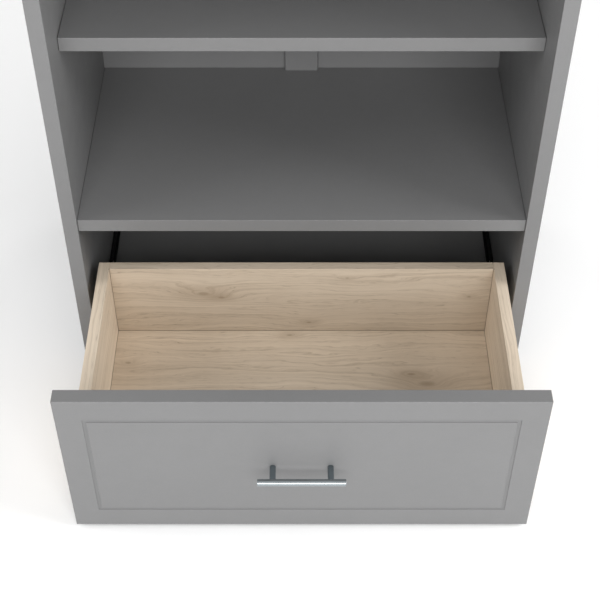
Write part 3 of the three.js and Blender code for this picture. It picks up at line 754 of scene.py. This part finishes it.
# Shares of a screw's shank radius
THREAD_PITCH = 0.72
THREAD_ROOT = 0.80
TIP_LENGTH = 0.8
TIP_RADIUS = 0.45                               # of the root's radius
THREAD_START = 1.6                              # from the tip
THREAD_END = 0.28                               # share of the length, from the head

# Shares of a screw head's radius and height
HEAD_FOOT_RADIUS = 0.97
HEAD_RIM = 0.12
CROWN_FLAT = 0.45
CROWN_BASE = 0.35
CROWN_STEPS = 7
RECESS_RADIUS = 0.52
RECESS_DEPTH = 0.75

# Shares of a recess wing's radius and depth
WING_LENGTH = (2, 1.1)                          # at its top and at its foot
WING_WIDTH = (0.42, 0.28)
WING_ABOVE = 0.2

PIN_HEAD = 8.5 * MM
PIN_SHANK_RADIUS = 2.5 * MM
PIN_HEAD_RADIUS = 3.5 * MM
PIN_GROOVE_RADIUS = 3.1 * MM
PIN_GROOVE = (1.1 * MM, 1.3 * MM, 1.9 * MM, 2.1 * MM)   # its edges, from the side panel
PIN_EASED = 0.6 * MM

GLIDE_RIM = 2.7 * MM
GLIDE_NAIL_RADIUS = 0.9 * MM
GLIDE_NAIL_SHANK = 10 * MM
GLIDE_NAIL_LENGTH = 12 * MM
GLIDE_FOOT = [(0, 0), (7.4 * MM, 0), (9 * MM, 1.2 * MM), (9 * MM, 1.9 * MM), (8.2 * MM, 2.1 * MM),
              (8.2 * MM, GLIDE_RIM)]
GLIDE_EASED = 0.5 * MM


def recess_wing(radius, depth):
    """One tapered wing of a cross recess, with its wide end just above z = 0 and pointing down."""
    wing = bmesh.new()
    bmesh.ops.create_cube(wing, size=1)
    for vertex in wing.verts:
        end = 0 if vertex.co.z > 0 else 1
        vertex.co.x *= WING_LENGTH[end] * radius
        vertex.co.y *= WING_WIDTH[end] * radius
        vertex.co.z = -depth if end else WING_ABOVE * depth
    return wing


def pan_screw(head_radius, head_height, shank_radius, length):
    """Pan-head cross-recess screw along +Z: its head's flat underside is at 0 and its tip at -length."""
    pitch = THREAD_PITCH * shank_radius
    root = THREAD_ROOT * shank_radius
    profile = [(0, -length), (TIP_RADIUS * root, -length + TIP_LENGTH * shank_radius)]
    z = -length + THREAD_START * shank_radius
    while z < -THREAD_END * length:
        profile += [(root, z), (shank_radius, z + pitch / 2)]
        z += pitch
    profile += [(root, z), (shank_radius, z + pitch / 2), (shank_radius, 0)]
    profile += [(HEAD_FOOT_RADIUS * head_radius, 0), (head_radius, HEAD_RIM * head_height)]
    for step in range(CROWN_STEPS + 1):
        turn = math.pi / 2 * step / CROWN_STEPS
        radius = head_radius * (CROWN_FLAT + (1 - CROWN_FLAT) * math.cos(turn))
        profile.append((radius, head_height * (CROWN_BASE + (1 - CROWN_BASE) * math.sin(turn))))
    profile.append((0, head_height))
    solid = lathe(profile, segments=28)
    for turn in (0, math.pi / 2):
        wing = recess_wing(RECESS_RADIUS * head_radius, RECESS_DEPTH * head_height)
        place = Matrix.Translation((0, 0, head_height)) @ Matrix.Rotation(turn, 4, "Z")
        solid = subtract(solid, moved(wing, place))
    return solid


def add_screw(node, axis, sign, kind, material, body):
    """Turned screw in a CAD screw's place; its head points along sign times the axis."""
    head_height, shank_radius = kind
    low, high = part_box(node)
    index = "xyz".index(axis)
    head_radius = (high[index - 1] - low[index - 1]) / 2
    length = high[index] - low[index] - head_height
    start = middle(node)
    start[index] = high[index] - head_height if sign > 0 else low[index] + head_height
    solid = moved(pan_screw(head_radius, head_height, shank_radius, length), turned_to(axis, start, sign))
    add_piece(f"{node}_turned", solid, material, body, node)


def add_screws(zinc):
    for side, sign in SIDES:
        add_screw(f"handle_screw_{side}", "y", 1, HANDLE_SCREW, zinc, "drawer")
        add_screw(f"anti_tip_screw_{side}", "z", 1, BRACKET_SCREW, zinc, "carcass")
        for end in ENDS:
            add_screw(f"slide_screw_case_{side}_{end}", "x", -sign, SLIDE_SCREW, zinc, "carcass")
            add_screw(f"slide_screw_drawer_{side}_{end}", "x", sign, SLIDE_SCREW, zinc, "drawer")


def add_shelf_pins(zinc):
    """Turned pins: a shank in the side panel, a collar groove and a round-nosed head under the shelf."""
    low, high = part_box("shelf_pin_1_left_front")
    length = high.x - low.x
    shank = length - PIN_HEAD
    groove = [shank + edge for edge in PIN_GROOVE]
    outline = [(0, 0), (PIN_SHANK_RADIUS, 0), (PIN_SHANK_RADIUS, shank), (PIN_HEAD_RADIUS, shank),
               (PIN_HEAD_RADIUS, groove[0]), (PIN_GROOVE_RADIUS, groove[1]), (PIN_GROOVE_RADIUS, groove[2]),
               (PIN_HEAD_RADIUS, groove[3]), (PIN_HEAD_RADIUS, length), (0, length)]
    for side, sign in SIDES:
        for number in SHELVES:
            for end in ENDS:
                node = f"shelf_pin_{number}_{side}_{end}"
                low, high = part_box(node)
                start = middle(node)
                start.x = high.x if sign > 0 else low.x
                solid = moved(lathe(fillet(outline, PIN_EASED), segments=32), turned_to("x", start, -sign))
                add_piece(f"{node}_turned", solid, zinc, "carcass", node)


def add_glides(plastic):
    """Nail-on glides: a domed foot with a stepped rim, and its nail."""
    nail = [(GLIDE_NAIL_RADIUS, GLIDE_RIM), (GLIDE_NAIL_RADIUS, GLIDE_RIM + GLIDE_NAIL_SHANK),
            (0, GLIDE_RIM + GLIDE_NAIL_LENGTH)]
    outline = fillet(GLIDE_FOOT + nail, GLIDE_EASED)
    for side, _ in SIDES:
        for end in ENDS:
            node = f"floor_glide_{side}_{end}"
            start = middle(node)
            start.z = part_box(node)[0].z
            solid = moved(lathe(outline, segments=40), Matrix.Translation(start))
            add_piece(f"{node}_moulded", solid, plastic, "carcass", node)


# ================================================================ handle

BAR_ROUGHNESS = 0.10
POST_ROUGHNESS = 0.12
BAR_EASED = 0.7 * MM
POST_EASED = 0.5 * MM
POST_INTO_BAR = 1.0 * MM                        # left between a post's end and the bar's axis
POST_NECK = 3 * MM
POST_NECK_SHARE = 0.86


def add_handle():
    """Round bar with eased ends on two posts."""
    bar_nickel = brushed_nickel("nickel_bar", 0, NICKEL_BAR, BAR_ROUGHNESS)
    # the posts' nickel is darker than the bar's: painted shade
    post_nickel = brushed_nickel("nickel_post", 1, NICKEL_POST_SHADED, POST_ROUGHNESS)
    low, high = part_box("handle_bar")
    radius = (high.z - low.z) / 2
    length = high.x - low.x
    axis = middle("handle_bar")
    bar = lathe(fillet([(0, 0), (radius, 0), (radius, length), (0, length)], BAR_EASED), segments=72)
    bar = moved(bar, turned_to("x", (low.x, axis.y, axis.z)))
    add_piece("handle_bar_turned", bar, bar_nickel, "drawer", "handle_bar")
    for side, _ in SIDES:
        node = f"handle_post_{side}"
        low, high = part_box(node)
        radius = (high.x - low.x) / 2
        reach = high.y - axis.y - POST_INTO_BAR
        outline = [(0, 0), (radius, 0), (radius, reach - POST_NECK), (POST_NECK_SHARE * radius, reach),
                   (0, reach)]
        post = lathe(fillet(outline, POST_EASED), segments=48)
        post = moved(post, turned_to("y", (middle(node).x, high.y, axis.z), -1))
        add_piece(f"{node}_turned", post, post_nickel, "drawer", node)


# ================================================================ drawer slides

STEEL = 1.4 * MM
LIP_DROP = 0.7 * MM                             # the flange's lip, bent away from its track
LIP_WIDTH = 1.0 * MM
TRACK_DEPTH = 0.35 * MM
TRACK_SHOULDER = 1.6 * MM                       # from the web
STEEL_BEND = 1.5 * MM
BALL_RADIUS = 1.15 * MM
BALL_PITCH = 7.0 * MM
BALL_START = 0.6                                # pitches from a cage's end to its first ball
CAGE_LENGTH = 58 * MM
CAGE_INSET = 3 * MM                             # from the middle member's end
CAGE_HALF_WIDTH = 1.9 * MM
CAGE_HALF_THICKNESS = 0.25 * MM
CASE_BALLS = 6.1 * MM                           # from the side panel to the balls' centres
DRAWER_BALLS = 9.35 * MM

LEVER_THICKNESS = 2.4 * MM
LEVER_HEIGHT = 3.2 * MM
LEVER_BEND = 14 * MM
LEVER_EASED = 1.0 * MM
LEVER_CLEAR = 0.4 * MM
LEVER_PLACE = 0.29                              # share of the inner member's length from its rear end
# Middle line of the lever, along and across the slide
LEVER_LINE = ((-46 * MM, -3.4 * MM), (-40 * MM, -3.4 * MM), (-30 * MM, 1.6 * MM), (-8 * MM, 1.6 * MM),
              (4 * MM, -0.4 * MM), (26 * MM, -0.4 * MM), (32 * MM, 2.4 * MM))
HUB_RADIUS = 4.2 * MM
HUB_HEIGHT = 3.1 * MM
HUB_EASED = 0.4 * MM
HUB_PLACE = (-2 * MM, -0.35 * MM, 0.4 * MM)


def channel_path(web, tip, half):
    """Middle line of a roll-formed member: a flat web, and flanges with a shallow ball track."""
    inward = 1 if tip > web else -1
    track = (web + tip) / 2
    upper = [(tip, half - LIP_DROP), (tip - inward * LIP_WIDTH, half), (track, half - TRACK_DEPTH),
             (web + inward * TRACK_SHOULDER, half), (web, half)]
    lower = [(u, -z) for u, z in reversed(upper)]
    return fillet(upper + lower, STEEL_BEND)


def add_slides(zinc):
    coat = black_coat()
    for side, sign in SIDES:
        panel_x = sign * INNER_X
        for member, body in (("outer", "carcass"), ("middle", f"slide_middle_{side}"), ("inner", "drawer")):
            node = f"slide_{member}_{side}"
            low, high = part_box(node)
            reach = sorted(abs(panel_x - x) for x in (low.x, high.x))
            web, tip = reach if member != "inner" else reach[::-1]
            inward = 1 if tip > web else -1
            half = (high.z - low.z) / 2 - STEEL / 2
            path = channel_path(web + inward * STEEL / 2, tip - inward * STEEL / 2, half)
            centre_z = middle(node).z
            outline = [(panel_x - sign * u, centre_z + z) for u, z in sheet_outline(path, STEEL)]
            solid = moved(extrude_outline(outline, high.y - low.y), Matrix.Translation((0, low.y, 0)))
            add_piece(f"{node}_rolled", solid, coat, body, node)
        add_ball_cages(side, sign, zinc)
        add_release_lever(side, sign)


def add_ball_cages(side, sign, zinc):
    """Two strips of balls above and two below the middle member, near its ends, travelling with it."""
    middle_low, middle_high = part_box(f"slide_middle_{side}")
    centre_z = (middle_low.z + middle_high.z) / 2
    outer_gap = ((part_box(f"slide_outer_{side}")[1].z - STEEL) + middle_high.z) / 2 - centre_z
    inner_gap = ((middle_high.z - STEEL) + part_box(f"slide_inner_{side}")[1].z) / 2 - centre_z
    panel_x = sign * INNER_X
    rows = (("case", outer_gap, panel_x - sign * CASE_BALLS, middle_high.y - CAGE_LENGTH - CAGE_INSET),
            ("drawer", inner_gap, panel_x - sign * DRAWER_BALLS, middle_low.y + CAGE_INSET))
    ball = bmesh.new()
    bmesh.ops.create_uvsphere(ball, u_segments=14, v_segments=10, radius=BALL_RADIUS)
    for name, gap, x, y in rows:
        cage = bmesh.new()
        for way in (-1, 1):
            z = centre_z + way * gap
            for number in range(int(CAGE_LENGTH / BALL_PITCH)):
                join_into(cage, ball, Matrix.Translation((x, y + (number + BALL_START) * BALL_PITCH, z)))
            strip = [(x + u * CAGE_HALF_WIDTH, z + v * CAGE_HALF_THICKNESS) for u, v in AROUND]
            rail = extrude_outline(strip, CAGE_LENGTH)
            join_into(cage, rail, Matrix.Translation((0, y, 0)))
            rail.free()
        add_piece(f"ball_cage_{name}_{side}", cage, zinc, f"slide_middle_{side}")
    ball.free()


def add_release_lever(side, sign):
    """Moulded lever in the inner member's trough that lets the drawer off its slides."""
    plastic = moulded_plastic(f"release_lever_{side}", BLACK_PLASTIC)
    node = f"slide_inner_{side}"
    low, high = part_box(node)
    outline = sheet_outline(fillet(LEVER_LINE, LEVER_BEND), LEVER_HEIGHT)
    lever = extrude_outline(fillet(outline, LEVER_EASED, closed=True), LEVER_THICKNESS)
    hub = fillet([(0, 0), (HUB_RADIUS, 0), (HUB_RADIUS, HUB_HEIGHT), (0, HUB_HEIGHT)], HUB_EASED)
    hub = lathe(hub, segments=32)
    join_into(lever, hub, turned_to("y", HUB_PLACE))
    hub.free()
    web_x = min((low.x, high.x), key=abs) + sign * (STEEL + LEVER_CLEAR)
    turn = Matrix.Rotation(-sign * math.pi / 2, 4, "Z")
    place = Matrix.Translation((web_x, high.y - LEVER_PLACE * (high.y - low.y), middle(node).z))
    add_piece(f"release_lever_{side}", moved(lever, place @ turn), plastic, "drawer")


# ================================================================ small fittings

CAP_RADIUS = 9 * MM
CAP_HEIGHT = 1.1 * MM
CAP_TOP_SHARE = 0.93
CAP_EASED = 0.5 * MM
CAP_TONE = 0.95
CAP_FROM_END = 34 * MM                          # from a board's end
CAP_FROM_EDGE = 60 * MM                         # from its front and rear edges
CAP_SLOT = (7 * MM, 1.2 * MM, 1.2 * MM)
CAP_ROUGHNESS = 0.5

NAIL_SPACING = 85 * MM
NAIL_INSET = 28 * MM
NAIL_SHANK = (0.6 * MM, 2.5 * MM)               # radius and length
NAIL_HEAD = [(1.6 * MM, 0), (1.4 * MM, 0.45 * MM), (0, 0.5 * MM)]
NAIL_EASED = 0.15 * MM


def add_cam_caps():
    """Cover caps over the cam locks, on the undersides of the top panel and the fixed shelf."""
    plastic = moulded_plastic("cam_cap", scaled(GREY, CAP_TONE), CAP_ROUGHNESS)
    outline = [(0, 0), (CAP_RADIUS, 0), (CAP_TOP_SHARE * CAP_RADIUS, CAP_HEIGHT), (0, CAP_HEIGHT)]
    outline = fillet(outline, CAP_EASED)
    for board in ("top_panel", "fixed_shelf"):
        low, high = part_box(board)
        for side, sign in SIDES:
            for end, y in (("front", low.y + CAP_FROM_EDGE), ("rear", high.y - CAP_FROM_EDGE)):
                x = sign * (high.x - CAP_FROM_END)
                cap = moved(lathe(outline, segments=40), turned_to("z", (x, y, low.z), -1))
                cutter = bmesh.new()
                bmesh.ops.create_cube(cutter, size=1)
                place = Matrix.Translation((x, y, low.z - CAP_HEIGHT)) @ Matrix.Diagonal((*CAP_SLOT, 1))
                cap = subtract(cap, moved(cutter, place))
                add_piece(f"cam_cap_{board}_{side}_{end}", cap, plastic, "carcass")


def add_back_nails(zinc):
    """Rows of small nail heads through the back panels into the boards' rear edges."""
    radius, length = NAIL_SHANK
    head = [(0, -length), (radius, -length), (radius, 0)] + NAIL_HEAD
    nail = lathe(fillet(head, NAIL_EASED), segments=16)
    for side, sign in SIDES:
        low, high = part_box(f"back_panel_{side}")
        near = min(abs(low.x), abs(high.x)) + NAIL_INSET
        far = max(abs(low.x), abs(high.x)) - NAIL_INSET
        count = int((far - near) / NAIL_SPACING) + 1
        for board in ("bottom_panel", "fixed_shelf", "top_panel"):
            z = middle(board).z
            row = bmesh.new()
            for number in range(count):
                x = sign * (near + (far - near) * number / (count - 1))
                join_into(row, nail, turned_to("y", (x, high.y, z)))
            add_piece(f"back_nails_{board}_{side}", row, zinc, "carcass")
    nail.free()


# ================================================================ the scene

bpy.context.scene.view_settings.view_transform = "Standard"
add_camera()
add_lights()
add_floor()

zinc_steel = zinc_plate()
finish_boards()
finish_drawer_box()
give("anti_tip_bracket", zinc_steel, EASED_STEEL)
add_handle()
add_screws(zinc_steel)
add_shelf_pins(zinc_steel)
add_glides(moulded_plastic("glide_plastic", BLACK_PLASTIC))
add_slides(zinc_steel)
add_cam_caps()
add_back_nails(zinc_steel)
